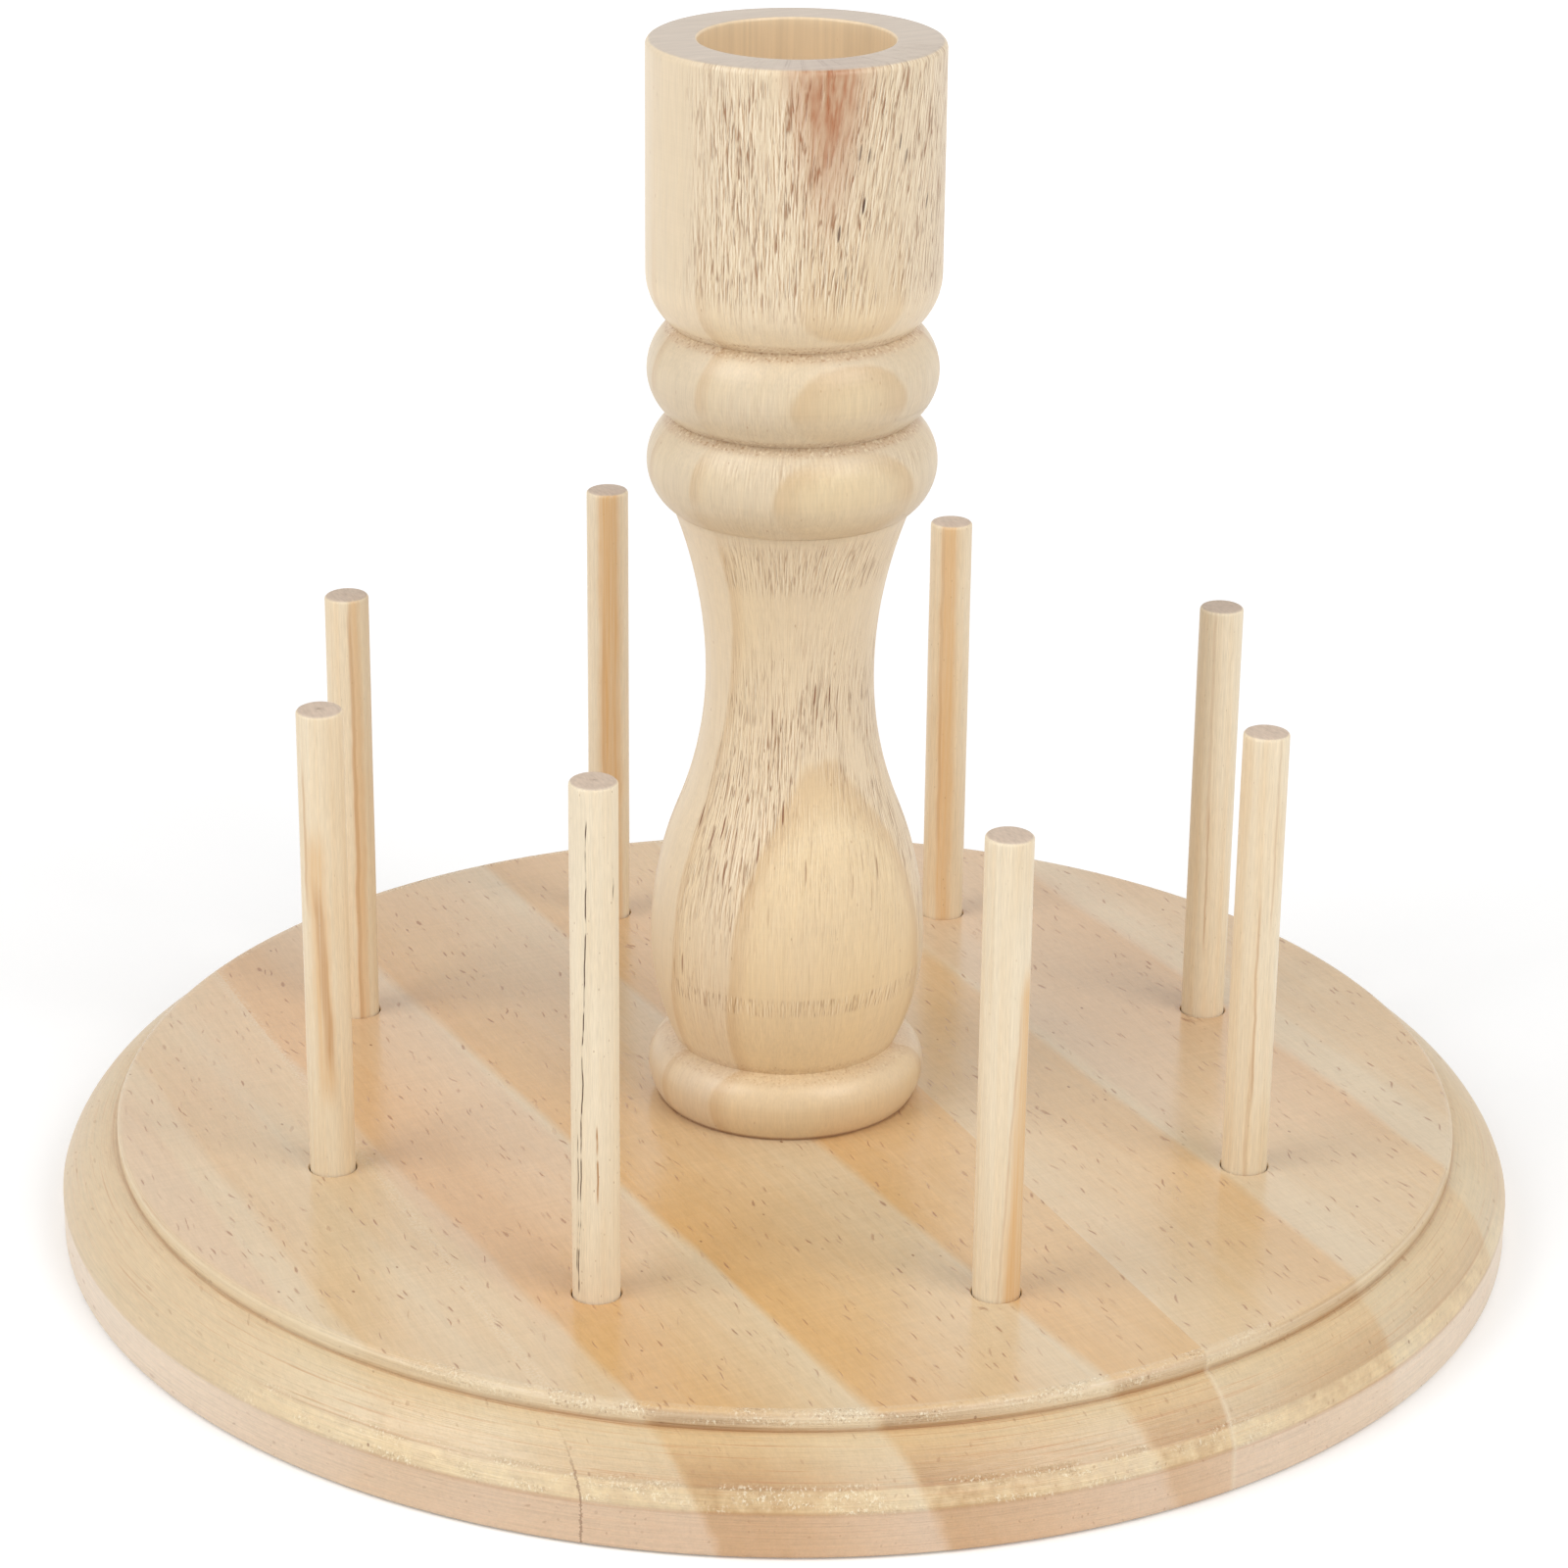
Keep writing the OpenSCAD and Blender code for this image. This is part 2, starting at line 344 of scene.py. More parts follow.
def board_places(n, side, seed):
    """Keeps on n where a point lies on a stave and in its growth bands."""
    slope, lean, n.pink_part, stops = STAVES[side]
    n.p, n.seed = n.position(), seed
    n.x, n.y, n.z = n.split(n.p)
    n.across, lengthways, n.upright = n.normal()
    n.radius = n.hypot(n.x, n.y)
    n.round_rim = n.turn(n.x, n.y, BOARD_R)
    n.end_grain = n.ease(n.size(lengthways), 0.25, 0.95)
    n.on_top = n.ease(n.upright, 0.9, 0.99)
    below = n.ease(n.upright, -0.6, -0.95)
    n.routed = n.times(n.ease(n.radius, STEP_R - 1.0, STEP_R - 0.2), n.ease(below, 1.0, 0.0))
    at_back = n.ease(n.y, 70, 110)
    n.torn_step = n.most(n.window(n.round_rim, *TORN_STEP, TORN_FADE), at_back)
    torn_shoulder = n.most(n.window(n.round_rim, *TORN_SHOULDER, TORN_FADE), at_back)
    n.worn = n.times(n.routed, torn_shoulder)

    drift = n.noise(n.p, (60, 130, 60), seed, 1.0)
    n.ripple = n.noise(n.p, (5, 40, 6), seed + 1)
    below_top = n.minus(BOARD_T, n.z)
    n.place = n.plus(n.x, (n.y, slope), (below_top, -lean), (drift, 6.0), (n.ripple, 3.0))
    n.bands = n.ramp(n.place, stops)


def board_grain(n):
    """Keeps on n the noises and flecks of the board."""
    p, seed = n.p, n.seed
    in_rings = n.join(n.place, n.times(n.y, 0.02), n.times(n.z, 0.3))
    n.rings = n.noise(in_rings, (2.0, 1, 2), seed + 2, 2.0, 0.6)
    n.streaks = n.noise(p, (0.9, 30, 0.9), seed + 3, 2.0, 0.6)
    n.fibres = n.noise(p, (0.35, 3.0, 0.35), seed + 4, 1.0)
    n.patches = n.noise(p, (20, 46, 20), seed + 5)
    n.scratches = n.noise(p, (24, 0.6, 8), seed + 6, 1.0)
    n.mottle = n.noise(p, (1.8, 3.6, 1.8), seed + 12)
    on_rim = n.join(n.radius, n.round_rim, n.z)
    n.lines = n.noise(on_rim, (0.4, 36, 0.4), seed + 9, 3.0, 0.7)
    n.torn = n.noise(p, (0.45, 0.45, 0.7), seed + 10, 2.0, 0.6)
    n.tears = n.noise(p, (9, 9, 2.0), seed + 11)

    swirl = n.noise(p, (6, 12, 6), seed + 13)
    swayed = n.join(n.plus(n.x, (swirl, 5.0)), n.y, n.z)
    short_dashes = n.specks(swayed, (1.4, 8.0, 1.8), 0.19, 0.9, seed + 7)
    thin_dashes = n.specks(swayed, (1.6, 18.0, 1.0), 0.10, 0.5, seed + 14, True)
    n.dashes = n.most(short_dashes, n.times(thin_dashes, n.on_top))
    n.dots = n.specks(p, (3.4, 6.0, 5.0), 0.09, 0.6, seed + 8)


def board_figure(n):
    """Colour of the growth bands and of the pinkish parts of the board; the back is pinker by a painted
    sheen.
    """
    tone = n.plus(n.bands, (n.rings, 0.3), (n.patches, 0.3))
    n.colour = n.mix(tone, BOARD_PALE, BOARD_DARK)
    middle, reach = n.pink_part
    pink = n.times(n.window(n.place, middle - reach, middle + reach, 4.0), n.ease(n.y, -90, -20))
    # The back is painted pinker as a painted sheen; each stave's pink part and the patches are the wood's
    # own.
    pink = n.plus(pink, n.patches, (n.mottle, 0.7), n.ease(n.y, -30, 70, 0.0, 0.45))
    n.paint(BOARD_PINK_AND_SHEEN, n.ease(pink, -0.1, 1.0, 0.0, 0.42))


def board_rim(n):
    """The rim is routed: brown lines run round its hollow, its shoulder is pale, partly by a painted
    highlight, and its face pinkish.
    """
    z, routed, bands, lines = n.z, n.routed, n.bands, n.lines
    side_grain = n.minus(1.0, n.end_grain)
    n.paint(BOARD_SIDE, side_grain, routed, 0.5)
    darker = n.plus(n.ease(z, 9, 13, 0.0, 0.32), (bands, bands, n.ease(z, 6, 10, 0.40, 0.7)))
    n.paint(BOARD_END, n.end_grain, routed, darker)

    lower = n.times(n.ease(z, RIM_FACE_Z + 0.3, RIM_FACE_Z - 0.5), routed)
    n.paint(BOARD_FOOT, lower, n.plus(0.5, (bands, -0.25)))
    # Painted light: the upright face is lighter towards the sides as seen from the view, in place of the
    # floor's bounce.
    far_aside_light = n.ease(n.size(n.along(n.x, n.y, RIGHTWARD)), 50, 115)
    n.paint(BOARD_LOW_SIDE_LIGHT, lower, far_aside_light, 0.6)

    # The pale shoulder is partly torn end grain and partly a painted highlight.
    shoulder = n.times(n.window(z, *SHOULDER, 0.5), n.worn)
    n.paint(BOARD_SHOULDER_AND_SHEEN, shoulder, n.plus(0.30, (n.mottle, 1.0)))
    brown = n.times(n.ease(lines, 0.02, 0.24), n.ease(z, RIM_FACE_Z + 1.5, RIM_FACE_Z + 4.0, 0.3, 1.0))
    n.paint(ROUTED_AND_SHADE, routed, brown, n.plus(0.55, (bands, 0.3)))
    seam = n.plus(n.window(z, *LOW_SEAM, 0.4), n.window(z, *HIGH_SEAM, 0.3))
    seam = n.times(seam, n.worn, n.ease(lines, -0.15, 0.1))
    n.paint(ROUTED_AND_SHADE, seam, 0.35)

    light = n.plus((n.streaks, 0.14), (n.fibres, 0.16), (n.scratches, n.on_top, 0.10))
    light = n.plus(light, (n.mottle, 0.10), (lines, routed, 0.5))
    n.colour = n.shade(n.colour, light)


def board_step(n):
    """The step's face is painted pale as painted light, with a thin dark line of painted shade in the corner
    below it.
    """
    by_step = n.window(n.radius, STEP_R - 0.6, STEP_R + 0.3, 0.3)
    face = n.times(by_step, n.ease(n.upright, 0.7, 0.3), n.ease(n.z, STEP_Z + 0.5, STEP_Z + 1.0))
    face = n.times(face, n.plus(0.55, (n.bands, -0.35), (n.lines, 1.2)))
    # Painted light: the upright step's face is painted pale so it reads as light as the top.
    n.paint(STEP_FACE_LIGHT, face)
    # Painted shade: a thin dark line in the corner under the step.
    in_corner = n.window(n.radius, STEP_R - 0.3, STEP_R + 0.2, 0.3)
    corner = n.times(in_corner, n.ease(n.z, STEP_Z + 0.5, STEP_Z + 0.2), n.routed)
    n.paint(ROUTED_AND_SHADE, corner, n.plus(0.35, (n.lines, 0.8)))


def board_tears(n):
    """Fibres tear at the step's edge and on the shoulder, pale in part by a painted highlight, and flecks lie
    all over.
    """
    at_edge = n.window(n.radius, STEP_R - 1.8, STEP_R + 0.5, 0.5)
    step_edge = n.times(at_edge, n.ease(n.z, STEP_Z + 0.6, STEP_Z + 1.6), n.torn_step)
    # The pale fuzz along the step's edge and on the shoulder is torn fibres, partly painted as a highlight.
    n.paint(FUZZ_AND_SHEEN, step_edge, 0.12)
    step_edge = n.times(step_edge, n.ease(n.tears, -0.08, 0.12, 0.1, 1.0))
    fuzzy = n.times(n.window(n.z, *FUZZY_SHOULDER, 0.8), n.worn, n.ease(n.tears, -0.06, 0.12))
    fuzzy = n.times(fuzzy, n.ease(n.round_rim, TORN_STEP[1] + 30, TORN_STEP[1]))
    n.rough = n.most(step_edge, fuzzy)
    n.paint(FUZZ_AND_SHEEN, n.rough, n.ease(n.torn, 0.03, 0.16), 0.65)
    pitted = n.times(n.rough, n.ease(n.torn, -0.08, -0.22), n.plus(0.2, (step_edge, 0.4)))
    n.paint(PIT_AND_SHADE, pitted)
    n.paint(FLECK, n.dashes, n.plus(0.66, (n.routed, -0.36)))
    n.paint(PIT_AND_SHADE, n.dots, 0.7)


def board_joints(n):
    """Glue shows as a pale line on top and a dark one low on the left. A dark line of painted contact shadow
    runs round the post.
    """
    left_gap, right_gap = (n.size(n.plus(n.x, -joint)) for joint in JOINTS_X)
    on_face = n.ease(n.size(n.across), 0.95, 0.6)
    pale_left = n.ease(n.plus(left_gap, (n.ripple, 2.0)), 2.0, 0.4)
    pale_left = n.times(pale_left, n.ease(n.torn, -0.1, 0.16), n.on_top)
    pale_right = n.times(n.ease(right_gap, 0.8, 0.1), on_face, n.ease(n.z, 19, 17, 0.04, 0.35))
    dark_left = n.ease(n.plus(left_gap, (n.fibres, 0.6)), 0.22, 0.06)
    dark_left = n.times(dark_left, on_face, n.ease(n.z, 17, 10))
    n.paint(GLUE_PALE, pale_left, 0.28)
    n.paint(GLUE_PALE, pale_right)
    n.paint(GLUE_DARK, dark_left, 0.6)
    # Painted contact shadow: a dark ring on the board round the foot of the post.
    post_contact_shadow = n.ease(n.plus(n.radius, (n.ripple, 1.2)), POST_FOOT_R + 0.7, POST_FOOT_R)
    n.paint(PIT_AND_SHADE, post_contact_shadow, n.on_top, 0.4)


def board_wood(side, seed):
    n = Nodes("board_wood_" + side)
    board_places(n, side, seed)
    for part in (board_grain, board_figure, board_rim, board_step, board_tears, board_joints):
        part(n)
    height = n.plus((n.fibres, 0.012), (n.streaks, 0.012), (n.lines, n.routed, 0.16))
    height = n.plus(height, (n.torn, n.rough, 0.35), (n.scratches, n.on_top, 0.005), (n.dashes, -0.02))
    gloss = n.plus(0.21, (n.patches, 0.10), (n.routed, 0.16), (n.dashes, 0.2), (n.rough, 0.1))
    return n.finish(gloss, height, IOR=1.7)


# Wood of the post

POST_PALE = srgb(229, 209, 178)
POST_DARK = srgb(236, 211, 167)
POST_GROOVE_AND_SHADE = srgb(164, 112, 66)
POST_RELIEF_HIGHLIGHT = srgb(252, 238, 212)
POST_SPLIT = srgb(152, 98, 54)
POST_LIP = srgb(196, 182, 168)
POST_BORE = srgb(238, 213, 176)
POST_CRACK_AND_SHADE = srgb(140, 80, 40)
POST_PIT = srgb(84, 54, 36)
STAIN = srgb(172, 106, 62)
POST_SEED = 3.0

# Growth planes of the post lean forward: stops of (height, millimetres forward)
POST_BEND = ((20, -3.5), (33, -3.3), (50, -0.5), (88, -1.0), (105, 1.2), (120, 3.0), (158, 6.0), (212, 7.5))
# Tone across the growth planes, from front to back, and how much the grain tears there
POST_RINGS = (
    (-34, 0.70), (-24, 0.60), (-17.2, 0.74), (-16.4, 0.02), (-12, 0.10), (-8, 0.34), (-5.0, 0.62),
    (-4.2, 0.02), (2, 0.08), (6, 0.32), (8.2, 0.60), (9.0, 0.05), (16, 0.25), (20, 0.58), (20.8, 0.10),
    (34, 0.30),
)
POST_TORN_RINGS = (
    (-34, 0.30), (-17.4, 0.36), (-16.4, 1.0), (-11, 0.95), (-5.0, 0.60), (-4.0, 0.06), (3, 0.08), (7, 0.5),
    (12, 0.9), (13, 0.25), (34, 0.4),
)
# Where one year's growth ends, as a thin darker line
POST_RING_EDGES = (-17.4, -5.2, 8.0, 19.8)
# How much the grain tears at each height
POST_TORN_HEIGHTS = (
    (20, 0.05), (31, 0.10), (39, 0.12), (41, 0.25), (43.5, 0.25), (45.5, 0.25), (56, 0.45), (68, 0.80),
    (84, 1.0), (98, 0.85), (108, 0.35), (116, 0.12), (119, 0.20), (120.5, 0.70), (127.5, 0.60), (130, 0.10),
    (140, 0.12), (143, 0.35), (147, 0.08), (158, 0.22), (164, 0.05), (169, 0.22), (174, 0.85), (180, 1.0),
    (206, 1.0), (211, 0.7),
)
# Stretches of the post's height: both beads (painted darker as painted shade), their undersides, the curve
# under the cup (painted lighter as painted light) and the creases
SHADED_BEADS_SPAN = (132, 161)
BEAD_UNDERSIDES = ((130, 134), (146.5, 150))
LIT_CUP_CURVE_SPAN = (165, 170)
BEAD_CREASES = ((146.0, 147.6), (162.2, 164.2))
FOOT_CREASE = (30.6, 32.4)
# Stretches where the tool chattered, where the grain cracked and where it is pitted
CHATTER_SPAN = (44.6, 47.0)
CRACKED_SPAN = (50, 104)
PITTED_SPAN = (178, 199)
# The heights that the torn fibres lean about, on the neck and on the cup, and the height between the two
LEAN_NECK_Z = 95.0
LEAN_CUP_Z = 190.0
NECK_END_Z = 150.0
# The radius at which the post's surface is unrolled for its fibres
UNROLLED_R = 22.0
# The stain: its middle to the right of the axis, and the heights over which it comes in
STAIN_ASIDE = 5.2
STAIN_RISE = (174, 207)


def post_places(n):
    """Keeps on n where a point lies on the post and in its growth planes."""
    n.p = n.position()
    n.x, n.y, n.z = n.split(n.p)
    upright = n.normal()[2]
    n.aside = n.along(n.x, n.y, RIGHTWARD)
    n.front = n.ease(n.along(n.x, n.y, FRONTWARD), 2.0, 8.0)
    past_bore = n.ease(n.hypot(n.x, n.y), BORE_R + 0.8, BORE_R + 1.6)
    n.outside = n.most(past_bore, n.ease(n.z, NECK_END_Z, NECK_END_Z - 2))
    n.lip = n.times(n.ease(upright, 0.75, 0.97), n.ease(n.z, POST_TOP - 2.2, POST_TOP - 1))

    drift = n.noise(n.p, (30, 30, 110), POST_SEED, 1.0)
    n.ripple = n.noise(n.p, (4, 4, 30), POST_SEED + 1)
    bend = n.graph(n.z, POST_BEND)
    n.place = n.plus(n.y, bend, (drift, 1.6), (n.ripple, 1.2))
    under_bead = n.plus(*(n.window(n.z, *span, 5.0) for span in BEAD_UNDERSIDES))
    n.fade = n.times(n.ease(n.z, 190, 160, 0.15, 1.0), n.ease(under_bead, 0.0, 1.0, 1.0, 0.3))
    level = n.ease(n.z, NECK_END_Z, NECK_END_Z + 1)
    level = n.plus(n.z, -LEAN_NECK_Z, (level, LEAN_NECK_Z - LEAN_CUP_Z))
    n.shear = n.times(level, n.ease(n.aside, -4, 16), -0.14)


def post_figure(n):
    """Colour of the growth planes, with a darker line at the end of each year's growth, and painted shade and
    light on the beads and under the cup.
    """
    seed = POST_SEED
    bands = n.times(n.ramp(n.place, POST_RINGS), n.fade)
    in_rings = n.join(n.times(n.x, 0.2), n.place, n.times(n.z, 0.02))
    n.rings = n.noise(in_rings, (2, 1.2, 1), seed + 2, 2.0, 0.6)
    n.streaks = n.noise(n.p, (1.1, 1.1, 34), seed + 3, 2.0, 0.6)
    n.fibres = n.noise(n.p, (0.3, 0.3, 5.0), seed + 4, 1.0)
    n.patches = n.noise(n.p, (14, 14, 34), seed + 5)
    n.turning = n.noise(n.join(0.0, 0.0, n.z), (1, 1, 0.45), seed + 9, 2.0, 0.6)

    tone = n.plus(bands, (n.rings, 0.4), (n.patches, 0.5))
    n.colour = n.mix(tone, POST_PALE, POST_DARK)
    light = n.plus((n.streaks, 0.16), (n.fibres, 0.16), (n.turning, 0.06))
    # Painted shade darkens the upward-facing beads; painted light brightens the downward-facing curve under
    # the cup.
    light = n.plus(light, (n.window(n.z, *SHADED_BEADS_SPAN, 3.0), n.outside, -0.11))
    light = n.plus(light, (n.window(n.z, *LIT_CUP_CURVE_SPAN, 3.0), n.outside, 0.06))
    n.colour = n.shade(n.colour, light)
    n.paint(POST_GROOVE_AND_SHADE, n.ease(n.z, 34, 30, 0.0, 0.15))
    for edge in POST_RING_EDGES:
        late = n.times(n.ease(n.place, edge - 2.5, edge), n.ease(n.place, edge + 0.9, edge + 0.3))
        n.paint(POST_GROOVE_AND_SHADE, late, n.fade, n.outside, 0.22)


def post_tears(n):
    """Torn grain: upright fibres that lean to the right on the right-hand side, with painted shade and
    painted highlights as if lit from one side.
    """
    seed, z = POST_SEED, n.z
    leaning = n.join(n.plus(n.turn(n.x, n.y, UNROLLED_R), n.shear), 0.0, z)
    fibre_size = (0.38, 1.0, 4.2)
    n.torn = n.noise(leaning, fibre_size, seed + 7, 2.0, 0.6)
    beside = n.noise(leaning, fibre_size, seed + 7, 2.0, 0.6, (0.16, 0, 0))
    threads = n.noise(leaning, (0.6, 1.0, 12.0), seed + 13, 1.0)
    tufts = n.noise(n.p, (7, 7, 15), seed + 8)

    on_cup = n.times(n.ease(z, 150, 172), n.ease(n.plus(n.place, (tufts, 10.0)), 1.0, -8.0))
    on_neck = n.times(n.ramp(n.place, POST_TORN_RINGS), n.ease(z, 172, 150))
    rough = n.times(n.most(on_neck, on_cup), n.ramp(z, POST_TORN_HEIGHTS))
    rough = n.times(rough, n.outside, n.ease(tufts, -0.3, 0.0))
    chatter = n.times(n.window(z, *CHATTER_SPAN, 0.9), n.ease(n.place, -3, -6))
    n.rough = n.most(rough, n.times(chatter, 0.6))

    # Each torn fibre gets painted shade on one side and a painted highlight on the other.
    relief_shading = n.minus(beside, n.torn)
    n.paint(POST_GROOVE_AND_SHADE, n.rough, n.ease(relief_shading, 0.0, -0.2), 0.7)
    n.paint(POST_RELIEF_HIGHLIGHT, n.rough, n.ease(relief_shading, 0.0, 0.2), 0.95)
    thread = n.times(n.rough, n.ease(n.size(threads), 0.045, 0.01))
    n.splits = n.times(thread, n.ease(n.torn, 0.08, -0.12), n.ease(tufts, -0.4, 0.05))
    n.paint(POST_SPLIT, n.splits, 0.9)
    speckles = n.specks(n.p, (1.5, 1.5, 4.0), 0.12, 0.6, seed + 6)
    n.paint(POST_GROOVE_AND_SHADE, speckles, 0.45)


def post_cracks(n):
    """Cracks along the grain at the waist, and deep pits on the right of the cup."""
    round_post = n.plus(n.turn(n.x, n.y, UNROLLED_R), n.shear, (n.ripple, 1.5))
    unrolled = n.join(round_post, n.z, 0.0)
    cracks = n.specks(unrolled, (2.2, 26.0, 1.0), 0.10, 0.5, POST_SEED + 10, True)
    cracks = n.times(cracks, n.window(n.z, *CRACKED_SPAN, 6.0))
    n.cracks = n.times(cracks, n.ease(n.rough, 0.1, 0.4, 0.15, 1.0))
    pits = n.specks(unrolled, (1.7, 16.0, 1.0), 0.11, 0.4, POST_SEED + 11, True)
    n.pits = n.times(pits, n.window(n.z, *PITTED_SPAN, 4.0), n.window(n.aside, 6, 20, 5.0))
    n.paint(POST_CRACK_AND_SHADE, n.cracks)
    n.paint(POST_PIT, n.pits)


def post_stain(n):
    """A brown stain that narrows downwards from the lip, on the front of the cup."""
    below_lip = n.minus(POST_TOP, n.z)
    spread = n.plus(n.size(n.plus(n.aside, -STAIN_ASIDE)), (below_lip, 0.14))
    stain = n.times(n.ease(spread, 10.0, 1.5), n.ease(n.z, *STAIN_RISE), n.front)
    stain = n.times(stain, n.plus(0.75, (n.streaks, 0.4), (n.torn, -1.5)))
    n.paint(STAIN, stain)


def post_creases(n):
    """Fuzz and painted shade in the creases of the turning, and a dark line of painted contact shadow where
    the post stands on the board.
    """
    low, high = (n.window(n.z, *span, 0.8) for span in BEAD_CREASES)
    crease = n.plus(low, high, (n.window(n.z, *FOOT_CREASE, 1.0), 0.5))
    n.crease = n.times(crease, n.outside)
    n.grit = n.noise(n.p, (0.5, 0.5, 0.7), POST_SEED + 12, 1.0)
    # Painted shade darkens the creases.
    n.paint(POST_GROOVE_AND_SHADE, n.crease, 0.2)
    # Painted contact shadow: a dark line at the foot where the post stands on the board.
    n.paint(POST_CRACK_AND_SHADE, n.ease(n.z, BOARD_T + 0.9, BOARD_T + 0.2), 0.6)
    n.paint(FUZZ_AND_SHEEN, n.crease, n.ease(n.grit, 0.06, 0.2), 0.4)
    n.paint(POST_GROOVE_AND_SHADE, n.crease, n.ease(n.grit, -0.08, -0.2), 0.5)


def post_cup(n):
    """The lip is greyish end grain, and the bore warm, plain wood."""
    n.paint(n.shade(POST_LIP, n.times(n.rings, 0.35)), n.lip, 0.9)
    within = n.times(n.minus(1.0, n.outside), n.ease(n.lip, 0.5, 0.0))
    n.paint(n.shade(POST_BORE, n.times(n.streaks, 0.4)), within, 0.8)


def post_wood():
    n = Nodes("post_wood")
    for part in (post_places, post_figure, post_tears, post_cracks, post_stain, post_creases, post_cup):
        part(n)
    height = n.plus((n.fibres, 0.015), (n.torn, n.rough, 0.16), (n.turning, 0.014), (n.splits, -0.12))
    height = n.plus(height, (n.cracks, -0.15), (n.pits, -0.2), (n.grit, n.crease, 0.08))
    gloss = n.plus(0.40, (n.patches, 0.12), (n.rough, 0.10), (n.lip, 0.12))
    return n.finish(gloss, height, IOR=1.5, Coat_Weight=0.15, Coat_Roughness=0.28)


# Wood of the pegs

PEG_PALE = srgb(238, 222, 194)
PEG_DARK = srgb(230, 198, 152)
PEG_END = srgb(198, 178, 161)
PEG_BROWN = srgb(186, 134, 84)
PEG_ORANGE = srgb(226, 184, 130)
PEG_SPECK = srgb(150, 106, 70)
PEG_CRACK = srgb(70, 34, 14)
# A mark whose half width is less than this is a crack, and broken here and there
CRACK_HALF = 0.2

# How dark each peg is, from 0 to 1, and how speckled
PEG_TONES = (0.06, 0.30, 0.12, 0.20, 0.15, 0.02, 0.05, 0.10)
PEG_SPECKLES = (0.35, 0.6, 0.3, 0.4, 0.3, 1.0, 0.25, 0.3)
# Marks on the front of each peg: colour, place across at the top and at the foot, half width,
# where it starts and ends in millimetres below the top, and strength
PEG_MARKS = (
    ((PEG_BROWN, -1.4, -0.8, 0.35, 4, 40, 0.25), (PEG_BROWN, -0.9, -0.7, 0.25, 42, 62, 0.5)),
    ((PEG_ORANGE, -0.4, -0.2, 2.0, 0, 96, 0.8), (PEG_BROWN, -1.6, -1.2, 0.4, 4, 60, 0.3)),
    ((PEG_ORANGE, 0.4, 0.4, 2.8, 0, 96, 0.95), (PEG_BROWN, -0.9, -0.6, 0.5, 30, 96, 0.2)),
    ((PEG_ORANGE, 1.6, 1.6, 1.4, 0, 96, 0.6), (PEG_BROWN, 0.9, 1.2, 0.5, 6, 90, 0.4)),
    (
        (PEG_ORANGE, -1.8, 1.0, 2.4, 26, 66, 0.7),
        (PEG_BROWN, -2.4, 2.2, 1.1, 36, 60, 0.6),
        (PEG_BROWN, -3.0, -2.0, 0.3, 14, 30, 0.4),
    ),
    (
        (PEG_CRACK, -0.8, -2.9, 0.13, 7, 88, 0.95),
        (PEG_CRACK, -2.2, -3.0, 0.11, 62, 84, 0.8),
        (PEG_BROWN, 0.6, 0.4, 0.19, 60, 72, 0.9),
        (PEG_CRACK, 3.1, 3.1, 0.10, 14, 18, 0.7),
    ),
    ((PEG_ORANGE, 5.4, 2.0, 2.6, 28, 96, 0.95), (PEG_BROWN, 4.0, -0.7, 0.3, 34, 90, 0.3)),
    (
        (PEG_BROWN, -0.2, 0.3, 0.3, 34, 62, 0.5),
        (PEG_BROWN, 2.2, 1.6, 0.25, 4, 30, 0.3),
        (PEG_BROWN, 0.2, -0.4, 0.5, 62, 84, 0.25),
    ),
)


def peg_marks(n, i, seed):
    """Streaks and cracks on the front of a peg. The cracks are kept on n as its scar."""
    lengthways = n.join(0.0, 0.0, n.z)
    wander = n.noise(lengthways, (1, 1, 9), seed + 4.3)
    gaps = n.noise(lengthways, (1, 1, 5), seed + 4.8)
    n.scar = 0.0
    for colour, at_top, at_foot, half, start, stop, strength in PEG_MARKS[i]:
        line = n.plus(at_top, (n.down, (at_foot - at_top) / PEG_LEN), (wander, 0.9))
        off = n.size(n.minus(n.aside, line))
        thin = half < CRACK_HALF
        broken = n.ease(gaps, -0.12, 0.04, 0.1, 1.0) if thin else n.plus(0.8, (n.streaks, 1.5))
        soft = 2.0 if thin else 8.0
        mark = n.times(n.ease(off, half, half * 0.35), n.window(n.down, start, stop, soft), n.front, broken)
        n.paint(colour, mark, strength)
        if thin:
            n.scar = n.plus(n.scar, mark)


